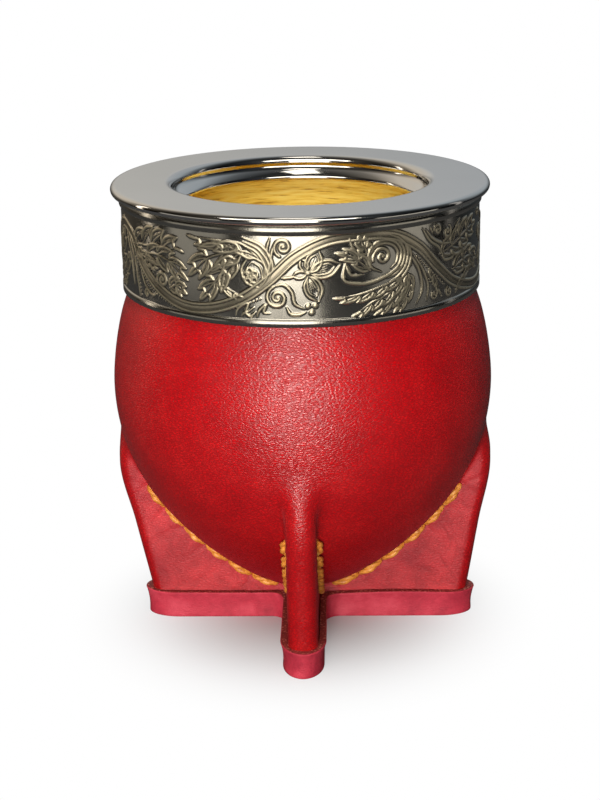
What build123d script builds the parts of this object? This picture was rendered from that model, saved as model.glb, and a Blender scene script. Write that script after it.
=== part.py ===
"""A leather-covered mate gourd cup with a metal collar and rim.

A thick dried gourd holds the drink. A leather cover is stretched over it and pinched
into four upright fins, whose roots are sewn through with waxed thread. The fins stand
in a cross-shaped leather sole. A metal collar grips the neck, and a flat metal rim with
a rolled lip and a short throat closes the cut edge of the gourd.

Units are millimetres. Z is up, the sole stands on Z = 0, and the gourd's axis is Z.
The front fin points to -Y and the right fin to +X.
"""
import math
import os

from build123d import *

# Overall sizes
TOTAL_HEIGHT = 112.0
BELLY_RADIUS = 46.2
COLLAR_SETBACK = 3.4
COLLAR_HEIGHT = 22.5

# Walls and fits
GOURD_WALL = 9.0
LEATHER_THICKNESS = 2.0
FIT_GAP = 0.1

# Collar: a sheet band with a raised plain strip along each edge
COLLAR_THICKNESS = 1.0
COLLAR_GAP = 0.15
UPPER_STRIP_HEIGHT = 2.0
UPPER_STRIP_RISE = 0.3
LOWER_STRIP_HEIGHT = 1.8
LOWER_STRIP_RISE = 0.15
STRIP_EDGE_RADIUS = 0.12

# Rim: a flat ring with a rolled lip outside and a short throat inside
RIM_OVERHANG = 2.2
LIP_HEIGHT = 2.2
LIP_GROOVE_HEIGHT = 0.3
LIP_GROOVE_DEPTH = 0.5
RIM_FACE_WIDTH = 12.5
THROAT_DRAFT = 3.0
THROAT_DEPTH = 5.4
THROAT_WALL = 0.8
THROAT_EDGE_RADIUS = 1.8

# Sole: a cross-shaped tray round the feet of the fins
SOLE_HEIGHT = 7.0
SOLE_FLOOR = 2.0
SOLE_SIDE_WALL = 1.35
SOLE_TIP_WALL = 2.2
SOLE_SIDE_FLARE = 0.9
SOLE_TIP_FLARE = 1.0
SOLE_TIP_LENGTH = 8.0
SOLE_CORNER_RADIUS = 4.0

# Belly: its height over the sole, then its outline as the share of the belly radius and
# the share of the way up to the collar
BELLY_CLEARANCE = 1.3
BELLY_OUTLINE = [
    (0.208, 0.029),
    (0.468, 0.127),
    (0.677, 0.243),
    (0.846, 0.373),
    (0.959, 0.523),
    (1.000, 0.689),
    (0.985, 0.802),
    (0.946, 0.916),
]
BELLY_NECK_LEAN = 0.3
OFFSET_STATIONS = 14
WIDEST_CURVE_SHARE = 0.6
SEARCH_STEPS = 40

# Fins: how far the foot stands back from the belly radius, and how far the widest place
# stands out past it
FIN_THICKNESS = 7.2
FIN_FOLD_FLAT = 0.2
FIN_FOOT_SETBACK = {"front": 8.6, "right": 6.0, "back": 7.6, "left": 8.1}
FIN_BULGE = {"front": 0.1, "right": 0.4, "back": 0.1, "left": 0.0}
FIN_TURN = {"front": -90, "right": 0, "back": 90, "left": 180}
FIN_MIDDLE_REACH_SHARE = 0.59
FIN_MIDDLE_SHARE = 0.21
FIN_WIDEST_SHARE = 0.42
FIN_TOP_SHARE = 0.62
FIN_TOP_SINK = 1.0
FIN_FOOT_LEAN = 0.2
FIN_TOP_LEAN = 0.1

# Thread along the roots of the fins
THREAD_RADIUS = 0.8
THREAD_PIN_RADIUS = 0.6
THREAD_BEND_SWELL = 0.04
THREAD_BELLY_GAP = 0.45
STITCH_COUNT = 6
STITCH_FIRST_REACH_SHARE = 0.848
STITCH_CROSS_GAP = 2.8

# Places that follow from the sizes above
collar_radius = BELLY_RADIUS - COLLAR_SETBACK
throat_radius = collar_radius - RIM_FACE_WIDTH
flange_thickness = LIP_HEIGHT + LIP_GROOVE_HEIGHT
collar_top = TOTAL_HEIGHT - flange_thickness
collar_bottom = collar_top - COLLAR_HEIGHT
collar_inner_radius = collar_radius - COLLAR_THICKNESS
neck_radius = collar_inner_radius - COLLAR_GAP
throat_bottom = TOTAL_HEIGHT - THROAT_DEPTH
belly_bottom = SOLE_HEIGHT + BELLY_CLEARANCE
belly_span = collar_bottom - belly_bottom
gourd_inset = LEATHER_THICKNESS + FIT_GAP
fin_half_thickness = FIN_THICKNESS / 2


def belly_height(share):
    return belly_bottom + share * belly_span


def belly_curve():
    """The leather's outer outline in the XZ plane, from the axis up to the collar."""
    start = (0, 0, belly_bottom)
    middle = [
        (reach * BELLY_RADIUS, 0, belly_height(height)) for reach, height in BELLY_OUTLINE
    ]
    end = (neck_radius, 0, collar_bottom)
    return Spline(start, *middle, end, tangents=[(1, 0, 0), (-BELLY_NECK_LEAN, 0, 1)])


def belly_point(curve, share, inward):
    """A point on the outline, moved inward along the curve's normal."""
    place = curve @ share
    direction = curve % share
    return Vector(place.X - inward * direction.Z, 0, place.Z + inward * direction.X)


def share_at_reach(curve, reach):
    """How far along the curve its lower half first gets this far from the axis."""
    low = 0.0
    high = WIDEST_CURVE_SHARE
    for _ in range(SEARCH_STEPS):
        middle = (low + high) / 2
        if (curve @ middle).X < reach:
            low = middle
        else:
            high = middle
    return (low + high) / 2


def turned(edges):
    """The solid that a closed half section in the XZ plane makes round the Z axis."""
    return revolve(make_face(edges), axis=Axis.Z)


def body(inward, top):
    """The belly and its neck as a solid, inset from the leather's outer face."""
    curve = belly_curve()
    stations = [index / OFFSET_STATIONS for index in range(OFFSET_STATIONS + 1)]
    points = [belly_point(curve, share, inward) for share in stations]
    inset_neck = neck_radius - inward
    points[-1] = Vector(inset_neck, 0, points[-1].Z)
    return turned([
        Spline(*points, tangents=[curve % 0, curve % 1]),
        Line(points[-1], (inset_neck, 0, top)),
        Line((inset_neck, 0, top), (0, 0, top)),
        Line((0, 0, top), points[0]),
    ])


def fin_blank(name, growth):
    """One fin from the axis outward, with a rounded fold, grown all round by growth."""
    foot_reach = BELLY_RADIUS - FIN_FOOT_SETBACK[name]
    widest_reach = BELLY_RADIUS + FIN_BULGE[name]
    middle_reach = foot_reach + FIN_MIDDLE_REACH_SHARE * (widest_reach - foot_reach)
    top_reach = BELLY_RADIUS - FIN_TOP_SINK
    base = SOLE_FLOOR - growth
    top = belly_height(FIN_TOP_SHARE)
    fold = Spline(
        (foot_reach + growth, 0, base),
        (middle_reach + growth, 0, belly_height(FIN_MIDDLE_SHARE)),
        (widest_reach + growth, 0, belly_height(FIN_WIDEST_SHARE)),
        (top_reach, 0, top),
        tangents=[(FIN_FOOT_LEAN, 0, 1), (-FIN_TOP_LEAN, 0, 1)],
    )
    outline = make_face([
        fold,
        Line((top_reach, 0, top), (0, 0, top)),
        Line((0, 0, top), (0, 0, base)),
        Line((0, 0, base), (foot_reach + growth, 0, base)),
    ])
    half_thickness = fin_half_thickness + growth
    blank = extrude(outline, amount=half_thickness, both=True, dir=(0, 1, 0))
    fold_edges = blank.edges().filter_by(GeomType.BSPLINE)
    blank = fillet(fold_edges, half_thickness - FIN_FOLD_FLAT)
    return blank.rotate(Axis.Z, FIN_TURN[name])


def all_fins(growth):
    blanks = [fin_blank(name, growth) for name in FIN_TURN]
    return blanks[0] + blanks[1:]


def stitch_holes():
    """The holes along a fin's root, just outside the belly, from the top one inward."""
    curve = belly_curve()
    first = share_at_reach(curve, STITCH_FIRST_REACH_SHARE * BELLY_RADIUS)
    last = share_at_reach(curve, fin_half_thickness + STITCH_CROSS_GAP)
    step = (last - first) / STITCH_COUNT
    outward = THREAD_RADIUS + THREAD_BELLY_GAP
    return [
        belly_point(curve, first + step * index, -outward)
        for index in range(STITCH_COUNT + 1)
    ]


def tube(start, end, radius):
    run = end - start
    return extrude(Plane(origin=start, z_dir=run) * Circle(radius), amount=run.length)


def hole_pins(radius, half_length):
    """Round pins across a fin's thickness, one at each stitch hole."""
    return [
        tube(Vector(hole.X, -half_length, hole.Z), Vector(hole.X, half_length, hole.Z), radius)
        for hole in stitch_holes()
    ]


def fin_thread(name):
    """A saddle stitch: a run of stitches on each face, joined through the holes."""
    side = fin_half_thickness + FIT_GAP + THREAD_RADIUS
    pieces = hole_pins(THREAD_PIN_RADIUS, side)
    for face in (-side, side):
        bends = [Vector(hole.X, face, hole.Z) for hole in stitch_holes()]
        for bend in bends:
            pieces.append(Pos(*bend) * Sphere(THREAD_RADIUS + THREAD_BEND_SWELL))
        for start, end in zip(bends, bends[1:]):
            pieces.append(tube(start, end, THREAD_RADIUS))
    thread = pieces[0] + pieces[1:]
    return thread.rotate(Axis.Z, FIN_TURN[name])


def gourd_shell():
    """The dried gourd, hollow, with a step cut in its mouth for the rim's throat."""
    cavity = body(gourd_inset + GOURD_WALL, TOTAL_HEIGHT)
    seat_bottom = throat_bottom - FIT_GAP
    seat = Circle(throat_radius + THROAT_WALL + FIT_GAP)
    seat = Pos(0, 0, seat_bottom) * extrude(seat, amount=TOTAL_HEIGHT - seat_bottom)
    return body(gourd_inset, collar_top) - cavity - seat


def leather_cover():
    cover = body(0, collar_top) + all_fins(0)
    cover -= body(LEATHER_THICKNESS, TOTAL_HEIGHT)
    holes = hole_pins(THREAD_PIN_RADIUS + FIT_GAP, FIN_THICKNESS)
    for turn in FIN_TURN.values():
        for hole in holes:
            cover -= hole.rotate(Axis.Z, turn)
    return cover


def sole_outline(side_wall, tip_wall, height):
    """The cross as a flat face: four round-ended arms with filleted inner corners."""
    half_width = fin_half_thickness + FIT_GAP + side_wall
    edges = []
    for name in sorted(FIN_TURN, key=FIN_TURN.get):
        tip = BELLY_RADIUS - FIN_FOOT_SETBACK[name] + tip_wall
        straight_end = tip - SOLE_TIP_LENGTH
        arm = [
            Line((half_width, -half_width), (straight_end, -half_width)),
            EllipticalCenterArc(
                (straight_end, 0), SOLE_TIP_LENGTH, half_width, start_angle=-90, arc_size=180
            ),
            Line((straight_end, half_width), (half_width, half_width)),
        ]
        edges += [edge.rotate(Axis.Z, FIN_TURN[name]) for edge in arm]
    cross = make_face(edges)
    corner_distance = half_width * math.sqrt(2)
    corners = [
        vertex for vertex in cross.vertices()
        if abs(math.hypot(vertex.X, vertex.Y) - corner_distance) < FIT_GAP
    ]
    return Pos(0, 0, height) * fillet(corners, SOLE_CORNER_RADIUS)


def leather_sole():
    """A flared cross-shaped block with a pocket that the fins' feet fill."""
    bottom = sole_outline(SOLE_SIDE_WALL, SOLE_TIP_WALL, 0)
    top = sole_outline(
        SOLE_SIDE_WALL + SOLE_SIDE_FLARE, SOLE_TIP_WALL + SOLE_TIP_FLARE, SOLE_HEIGHT
    )
    return loft([bottom, top], ruled=True) - all_fins(FIT_GAP)


def edge_radius(edge):
    return edge.radius if edge.geom_type == GeomType.CIRCLE else 0


def collar_band():
    """A sheet band whose plain edge strips stand slightly proud of its middle."""
    lower_radius = collar_radius + LOWER_STRIP_RISE
    upper_radius = collar_radius + UPPER_STRIP_RISE
    lower_strip_top = collar_bottom + LOWER_STRIP_HEIGHT
    upper_strip_bottom = collar_top - UPPER_STRIP_HEIGHT
    band = turned(Polyline(
        (collar_inner_radius, 0, collar_bottom),
        (lower_radius, 0, collar_bottom),
        (lower_radius, 0, lower_strip_top),
        (collar_radius, 0, lower_strip_top),
        (collar_radius, 0, upper_strip_bottom),
        (upper_radius, 0, upper_strip_bottom),
        (upper_radius, 0, collar_top),
        (collar_inner_radius, 0, collar_top),
        close=True,
    ))
    proud_edges = [edge for edge in band.edges() if edge_radius(edge) > collar_radius + FIT_GAP]
    return fillet(proud_edges, STRIP_EDGE_RADIUS)


def rim_ring():
    """The flat ring, its rolled lip and its throat."""
    lip_radius = LIP_HEIGHT / 2
    rim_radius = collar_radius + RIM_OVERHANG
    lip_centre = rim_radius - lip_radius
    lip_bottom = TOTAL_HEIGHT - LIP_HEIGHT
    groove_radius = collar_radius - LIP_GROOVE_DEPTH
    throat_outside = throat_radius + THROAT_WALL
    throat_end = throat_radius - THROAT_DRAFT
    edge_centre = throat_radius + THROAT_EDGE_RADIUS
    edge_bottom = TOTAL_HEIGHT - THROAT_EDGE_RADIUS
    slant = THROAT_EDGE_RADIUS * math.sqrt(0.5)
    return turned([
        Line((edge_centre, 0, TOTAL_HEIGHT), (lip_centre, 0, TOTAL_HEIGHT)),
        ThreePointArc(
            (lip_centre, 0, TOTAL_HEIGHT),
            (rim_radius, 0, TOTAL_HEIGHT - lip_radius),
            (lip_centre, 0, lip_bottom),
        ),
        Polyline(
            (lip_centre, 0, lip_bottom),
            (groove_radius, 0, lip_bottom),
            (groove_radius, 0, collar_top),
            (throat_outside, 0, collar_top),
            (throat_end + THROAT_WALL, 0, throat_bottom),
            (throat_end, 0, throat_bottom),
            (throat_radius, 0, edge_bottom),
        ),
        ThreePointArc(
            (throat_radius, 0, edge_bottom),
            (edge_centre - slant, 0, edge_bottom + slant),
            (edge_centre, 0, TOTAL_HEIGHT),
        ),
    ])


def write(name, shape):
    shape.label = name
    export_step(shape, f"parts/{name}.step")


os.makedirs("parts", exist_ok=True)
write("gourd_shell", gourd_shell())
write("leather_cover", leather_cover())
write("leather_sole", leather_sole())
write("collar_band", collar_band())
write("rim_ring", rim_ring())
for fin_name in FIN_TURN:
    write(f"fin_thread_{fin_name}", fin_thread(fin_name))
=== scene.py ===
import math
import random

import bmesh
import bpy
import numpy as np
from mathutils import Matrix, Vector


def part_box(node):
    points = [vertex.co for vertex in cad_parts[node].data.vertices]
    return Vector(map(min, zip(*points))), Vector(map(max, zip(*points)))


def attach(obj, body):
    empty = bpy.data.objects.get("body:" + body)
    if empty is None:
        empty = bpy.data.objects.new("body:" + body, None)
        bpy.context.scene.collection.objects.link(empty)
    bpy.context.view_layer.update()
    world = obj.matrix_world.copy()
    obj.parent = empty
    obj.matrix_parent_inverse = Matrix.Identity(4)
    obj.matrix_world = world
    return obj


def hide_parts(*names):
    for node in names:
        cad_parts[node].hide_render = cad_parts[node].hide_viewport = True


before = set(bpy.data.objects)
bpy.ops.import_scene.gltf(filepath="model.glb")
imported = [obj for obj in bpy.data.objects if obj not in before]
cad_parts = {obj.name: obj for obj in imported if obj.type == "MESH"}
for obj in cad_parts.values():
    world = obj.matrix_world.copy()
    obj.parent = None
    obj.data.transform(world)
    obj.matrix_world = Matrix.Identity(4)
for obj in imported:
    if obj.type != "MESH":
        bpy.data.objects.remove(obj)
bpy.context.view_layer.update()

# The pieces are shaped in millimetres and scaled once, when their mesh is made.
MILLIMETRE = 0.001

# Heights and radii that every piece shares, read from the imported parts
rim_low, rim_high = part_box("rim_ring")
collar_low, collar_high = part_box("collar_band")
sole_low, sole_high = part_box("leather_sole")
TOP = rim_high.z / MILLIMETRE
RIM_RADIUS = rim_high.x / MILLIMETRE
COLLAR_TOP = collar_high.z / MILLIMETRE
COLLAR_BOTTOM = collar_low.z / MILLIMETRE
STRIP_RADIUS = collar_high.x / MILLIMETRE
COLLAR_RADIUS = STRIP_RADIUS - 0.3
SOLE_TOP = sole_high.z / MILLIMETRE

# Belly
BELLY_RADIUS = 46.2
BELLY_BOTTOM = SOLE_TOP + 1.3
NECK_RADIUS = COLLAR_RADIUS - 1.15
BELLY_OUTLINE = [
    (0.208, 0.029),
    (0.468, 0.127),
    (0.677, 0.243),
    (0.846, 0.373),
    (0.959, 0.523),
    (1.000, 0.689),
    (0.985, 0.802),
    (0.946, 0.916),
]
LEATHER_THICKNESS = 2.0

# Fins, in turn from the right one, anticlockwise from above
FIN_HALF = 3.6
FIN_FOLD = 3.35
SOLE_FLOOR = 2.0
FIN_FEET = [40.2, 38.6, 38.1, 37.6]
FIN_WIDEST = [46.6, 46.3, 46.2, 46.3]
FIN_NAMES = ["right", "back", "left", "front"]

# Stitches
STITCH_COUNT = 6
THREAD_RADIUS = 0.8
ROOT_GAP = 1.25


def smooth_step(low, high, value):
    share = np.clip((value - low) / (high - low), 0.0, 1.0)
    return share * share * (3.0 - 2.0 * share)


def spline_through(points, count):
    """Evenly spaced places on a smooth curve through a few points."""
    knots = np.array(points, float)
    chords = np.hypot(*np.diff(knots, axis=0).T)
    stations = np.concatenate([[0.0], np.cumsum(chords)])
    slopes = np.gradient(knots, stations, axis=0)
    wanted = np.linspace(0.0, stations[-1], count)
    index = np.clip(np.searchsorted(stations, wanted, side="right") - 1, 0, len(knots) - 2)
    width = (stations[index + 1] - stations[index])[:, None]
    t = ((wanted - stations[index]) / width[:, 0])[:, None]
    return (
        (2 * t**3 - 3 * t**2 + 1) * knots[index]
        + (t**3 - 2 * t**2 + t) * width * slopes[index]
        + (3 * t**2 - 2 * t**3) * knots[index + 1]
        + (t**3 - t**2) * width * slopes[index + 1]
    )


def belly_side():
    """Reach and height along the belly, from the axis at the bottom to the collar."""
    span = COLLAR_BOTTOM - BELLY_BOTTOM
    knots = [(0.0, BELLY_BOTTOM)]
    knots += [(BELLY_RADIUS * r, BELLY_BOTTOM + span * z) for r, z in BELLY_OUTLINE]
    knots += [(NECK_RADIUS, COLLAR_BOTTOM), (NECK_RADIUS, COLLAR_TOP)]
    side = spline_through(knots, 600)
    side[:, 0] = np.clip(side[:, 0], 0.0, None)
    side[:, 1] = np.maximum.accumulate(side[:, 1])
    return side


BELLY_SIDE = belly_side()


def belly_reach(height):
    return np.interp(height, BELLY_SIDE[:, 1], BELLY_SIDE[:, 0], left=0.0)


def belly_spot(reach, outward=0.0):
    """The place on the lower belly at this reach, moved outward along its normal."""
    low = BELLY_SIDE[: int(np.argmax(BELLY_SIDE[:, 0]))]
    index = int(np.searchsorted(low[:, 0], reach))
    run = low[index + 2] - low[index - 2]
    run /= np.hypot(*run)
    return low[index] + outward * np.array([run[1], -run[0]])


def fin_reach(fin, height):
    """How far a fin's fold stands from the axis at each height."""
    span = COLLAR_BOTTOM - BELLY_BOTTOM
    foot, widest = FIN_FEET[fin], FIN_WIDEST[fin]
    knots = spline_through(
        [
            (SOLE_FLOOR - 1.0, foot - 0.2),
            (SOLE_FLOOR, foot),
            (BELLY_BOTTOM + 0.21 * span, foot + 0.59 * (widest - foot)),
            (BELLY_BOTTOM + 0.42 * span, widest),
            (BELLY_BOTTOM + 0.49 * span, widest - 0.5),
            (BELLY_BOTTOM + 0.55 * span, BELLY_RADIUS - 2.4),
            (BELLY_BOTTOM + 0.68 * span, BELLY_RADIUS - 8.0),
            (COLLAR_TOP, BELLY_RADIUS - 12.0),
        ],
        200,
    )
    return np.interp(height, knots[:, 0], knots[:, 1])


def new_piece(name, grid, material, replaced=()):
    """Makes a finished object of a bmesh in millimetres, riding on the one body."""
    bmesh.ops.recalc_face_normals(grid, faces=grid.faces)
    bmesh.ops.scale(grid, vec=(MILLIMETRE,) * 3, verts=grid.verts)
    mesh = bpy.data.meshes.new(name)
    grid.to_mesh(mesh)
    grid.free()
    mesh.polygons.foreach_set("use_smooth", [True] * len(mesh.polygons))
    mesh.materials.append(material)
    piece = bpy.data.objects.new(name, mesh)
    bpy.context.scene.collection.objects.link(piece)
    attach(piece, "root")
    if replaced:
        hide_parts(*replaced)
    return piece


def mapped_grid(columns, rows, places, close_columns=True, close_rows=False, poles=()):
    """A grid whose vertex in each row and column goes to its place.

    places is an array of rows by columns by 3. Closing joins the last row or column to
    the first, and a pole closes the first or last row with a fan.
    """
    grid = bmesh.new()
    bmesh.ops.create_grid(grid, x_segments=columns - 1, y_segments=rows - 1, size=1.0)
    order = list(grid.verts)
    table = [order[row * columns:(row + 1) * columns] for row in range(rows)]
    for vertex, place in zip(order, places.reshape(-1, 3)):
        vertex.co = place
    if close_columns:
        firsts = [line[0] for line in table]
        lasts = [line[-1] for line in table]
        bridge_lines(grid, firsts, lasts)
    if close_rows:
        bridge_lines(grid, table[0], table[-1])
        if close_columns:
            grid.faces.new((table[0][0], table[0][-1], table[-1][-1], table[-1][0]))
    for pole in poles:
        close_pole(grid, table[pole])
    return grid


def bridge_lines(grid, first, last):
    for index in range(len(first) - 1):
        grid.faces.new((first[index], first[index + 1], last[index + 1], last[index]))


def close_pole(grid, ring):
    """Closes a ring of vertices with a fan round its middle."""
    middle = grid.verts.new(sum((v.co for v in ring), Vector()) / len(ring))
    for index, vertex in enumerate(ring):
        grid.faces.new((ring[index - 1], vertex, middle))
    return middle


# ---------------------------------------------------------------- materials


def socket(group, name, kind, is_input, value=None):
    made = group.interface.new_socket(
        name=name, in_out="INPUT" if is_input else "OUTPUT", socket_type=kind
    )
    if value is not None:
        made.default_value = value


class Tree:
    """A short way to place nodes and join them."""

    def __init__(self, tree):
        self.tree = tree

    def add(self, kind, settings=(), **inputs):
        node = self.tree.nodes.new(kind)
        for key, value in dict(settings).items():
            setattr(node, key, value)
        for key, value in inputs.items():
            self.feed(node, key.replace("_", " "), value)
        return node

    def feed(self, node, key, value):
        target = node.inputs[int(key)] if key.strip().isdigit() else node.inputs[key]
        if isinstance(value, bpy.types.NodeSocket):
            self.tree.links.new(value, target)
        else:
            target.default_value = value

    def math(self, operation, first, second=0.0, clamp=False):
        node = self.tree.nodes.new("ShaderNodeMath")
        node.operation = operation
        node.use_clamp = clamp
        self.feed(node, "0", first)
        self.feed(node, "1", second)
        return node.outputs[0]

    def scaled(self, value, factor, offset):
        node = self.tree.nodes.new("ShaderNodeMath")
        node.operation = "MULTIPLY_ADD"
        self.feed(node, "0", value)
        self.feed(node, "1", factor)
        self.feed(node, "2", offset)
        return node.outputs[0]

    def ramp(self, value, stops):
        node = self.tree.nodes.new("ShaderNodeValToRGB")
        while len(node.color_ramp.elements) < len(stops):
            node.color_ramp.elements.new(1.0)
        for element, (position, colour) in zip(node.color_ramp.elements, stops):
            element.position = position
            element.color = colour
        self.feed(node, "Fac", value)
        return node.outputs["Color"]

    def mix(self, factor, first, second, blend="MIX"):
        node = self.tree.nodes.new("ShaderNodeMix")
        node.data_type = "RGBA"
        node.blend_type = blend
        self.feed(node, "0", factor)
        self.feed(node, "6", first)
        self.feed(node, "7", second)
        return node.outputs[2]

    def blended(self, factor, first, second):
        node = self.tree.nodes.new("ShaderNodeMixShader")
        self.feed(node, "0", factor)
        self.feed(node, "1", first.outputs[0])
        self.feed(node, "2", second.outputs[0])
        return node.outputs[0]


def grey(value):
    return (value, value, value, 1.0)


def attribute(tree, name):
    return tree.add("ShaderNodeAttribute", {"attribute_name": name}).outputs["Fac"]


def new_material(name):
    """A material with its tree, its shader and the place on the object."""
    material = bpy.data.materials.new(name)
    material.use_nodes = True
    material.node_tree.nodes.clear()
    tree = Tree(material.node_tree)
    shader = tree.add("ShaderNodeBsdfPrincipled")
    output = tree.add("ShaderNodeOutputMaterial")
    tree.feed(output, "Surface", shader.outputs[0])
    return material, tree, shader, object_place(tree)


def object_place(tree):
    return tree.add("ShaderNodeTexCoord").outputs["Object"]


def place_group(tree, group, **inputs):
    node = tree.add("ShaderNodeGroup", {"node_tree": group})
    for key, value in inputs.items():
        tree.feed(node, key.replace("_", " "), value)
    return node


def leather_grain_group():
    """Hair-cell leather: a net of fine wavy wrinkles, long round the cup, over pebbles."""
    group = bpy.data.node_groups.new("leather grain", "ShaderNodeTree")
    socket(group, "Place", "NodeSocketVector", True)
    socket(group, "Cells per mm", "NodeSocketFloat", True, 1.75)
    socket(group, "Height", "NodeSocketFloat", False)
    socket(group, "Crease", "NodeSocketFloat", False)
    tree = Tree(group)
    inputs = tree.add("NodeGroupInput")
    outputs = tree.add("NodeGroupOutput")
    scale = tree.math("MULTIPLY", inputs.outputs["Cells per mm"], 1000.0)
    place = inputs.outputs["Place"]
    bend = tree.add("ShaderNodeTexNoise", Vector=place, Scale=900.0, Detail=2.0)
    squeeze = tree.add("ShaderNodeVectorMath", {"operation": "MULTIPLY"})
    tree.feed(squeeze, "0", place)
    tree.feed(squeeze, "1", (0.55, 0.55, 1.25))
    shift = tree.add("ShaderNodeVectorMath", {"operation": "MULTIPLY_ADD"})
    tree.feed(shift, "0", bend.outputs["Color"])
    tree.feed(shift, "1", (0.0004, 0.0004, 0.0004))
    tree.feed(shift, "2", squeeze.outputs[0])
    edges = {"feature": "DISTANCE_TO_EDGE"}
    cells = tree.add("ShaderNodeTexVoronoi", edges, Vector=shift.outputs[0], Scale=scale)
    line = tree.math("MULTIPLY", cells.outputs["Distance"], 3.2, clamp=True)
    fine = tree.add("ShaderNodeTexNoise", Vector=place, Scale=2600.0, Detail=4.0)
    height = tree.math("MULTIPLY", line, 0.7)
    pebbles = tree.math("MULTIPLY", fine.outputs["Fac"], 0.45)
    tree.feed(outputs, "Height", tree.math("ADD", height, pebbles))
    tree.feed(outputs, "Crease", tree.math("SUBTRACT", 1.0, line))
    return group


def mottle_group():
    """Soft uneven patches, as dye and handling leave."""
    group = bpy.data.node_groups.new("mottle", "ShaderNodeTree")
    socket(group, "Place", "NodeSocketVector", True)
    socket(group, "Patches per m", "NodeSocketFloat", True, 90.0)
    socket(group, "Patch", "NodeSocketFloat", False)
    tree = Tree(group)
    inputs = tree.add("NodeGroupInput")
    outputs = tree.add("NodeGroupOutput")
    noise = tree.add("ShaderNodeTexNoise", Detail=5.0, Roughness=0.6)
    tree.feed(noise, "Vector", inputs.outputs["Place"])
    tree.feed(noise, "Scale", inputs.outputs["Patches per m"])
    tree.feed(outputs, "Patch", noise.outputs["Fac"])
    return group


GRAIN = leather_grain_group()
MOTTLE = mottle_group()


def bump(tree, shader, height, strength, distance):
    """Raises the shader's surface, over any bump that it already has."""
    node = tree.add("ShaderNodeBump", Height=height, Strength=strength, Distance=distance)
    for link in shader.inputs["Normal"].links:
        tree.feed(node, "Normal", link.from_socket)
    tree.feed(shader, "Normal", node.outputs["Normal"])


def cover_leather():
    material, tree, shader, place = new_material("cover leather")
    grain = place_group(tree, GRAIN, Place=place)
    patch = place_group(tree, MOTTLE, Place=place)
    face = attribute(tree, "fin_face")
    tone = tree.ramp(patch.outputs["Patch"], [
        (0.28, (0.42, 0.0018, 0.0046, 1.0)),
        (0.50, (0.52, 0.0030, 0.0060, 1.0)),
        (0.75, (0.62, 0.0100, 0.0110, 1.0)),
    ])
    # The fin faces are painted paler pink: painted light, as they stand lit while the belly below them
    # lies in shade.
    painted_lit_face_tone = tree.ramp(patch.outputs["Patch"], [
        (0.32, (0.34, 0.010, 0.018, 1.0)),
        (0.68, (0.72, 0.042, 0.050, 1.0)),
    ])
    # Mixes the dye patches with the painted light on the fin faces.
    dye_and_painted_light = tree.mix(face, tone, painted_lit_face_tone)
    # Wrinkles on the fin faces: bumped, and darkened in colour along their folds as painted shade.
    wrinkle = tree.add("ShaderNodeTexNoise", Vector=place, Scale=95.0, Detail=3.0, Distortion=1.1)
    fold = tree.math("ABSOLUTE", tree.math("SUBTRACT", wrinkle.outputs["Fac"], 0.5))
    fold = tree.math("SUBTRACT", 1.0, tree.math("MULTIPLY", fold, 11.0, clamp=True))
    fold = tree.math("MULTIPLY", fold, face)
    grain_share = tree.scaled(face, -0.40, 0.7)
    line = tree.math("MULTIPLY", grain.outputs["Crease"], grain_share)
    line = tree.math("ADD", line, tree.math("MULTIPLY", fold, 0.24), clamp=True)
    # Dark lines: the leather's own grain creases, and on the fin faces painted shade in the wrinkle
    # folds.
    tree.feed(shader, "Base Color", tree.mix(line, dye_and_painted_light, (0.19, 0.0010, 0.003, 1.0)))
    gloss = tree.ramp(grain.outputs["Height"], [(0.0, grey(0.46)), (1.0, grey(0.26))])
    tree.feed(shader, "Roughness", tree.mix(face, gloss, grey(0.62)))
    tree.feed(shader, "Specular IOR Level", 0.75)
    bump(tree, shader, tree.math("SUBTRACT", 1.0, fold), 0.2, 0.0003)
    bump(tree, shader, grain.outputs["Height"], 0.5, 0.00016)
    return material


def sole_leather():
    material, tree, shader, place = new_material("sole leather")
    grain = place_group(tree, GRAIN, Place=place, Cells_per_mm=2.0)
    patch = place_group(tree, MOTTLE, Place=place, Patches_per_m=140.0)
    face = tree.ramp(patch.outputs["Patch"], [
        (0.30, (0.36, 0.018, 0.038, 1.0)),
        (0.52, (0.56, 0.036, 0.064, 1.0)),
        (0.78, (0.74, 0.084, 0.124, 1.0)),
    ])
    raw = tree.ramp(grain.outputs["Height"], [
        (0.2, (0.16, 0.018, 0.016, 1.0)),
        (0.7, (0.36, 0.055, 0.045, 1.0)),
        (1.0, (0.60, 0.220, 0.170, 1.0)),
    ])
    tree.feed(shader, "Base Color", tree.mix(attribute(tree, "raw_edge"), face, raw))
    tree.feed(shader, "Roughness", 0.62)
    bump(tree, shader, grain.outputs["Height"], 0.4, 0.00018)
    return material


def polished_steel():
    material, tree, shader, place = new_material("polished steel")
    patch = place_group(tree, MOTTLE, Place=place, Patches_per_m=60.0)
    tree.feed(shader, "Metallic", 1.0)
    tree.feed(shader, "Base Color", (0.80, 0.79, 0.77, 1.0))
    tree.feed(shader, "Roughness", tree.ramp(patch.outputs["Patch"], [
        (0.3, grey(0.06)), (0.8, grey(0.14)),
    ]))
    return material


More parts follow.
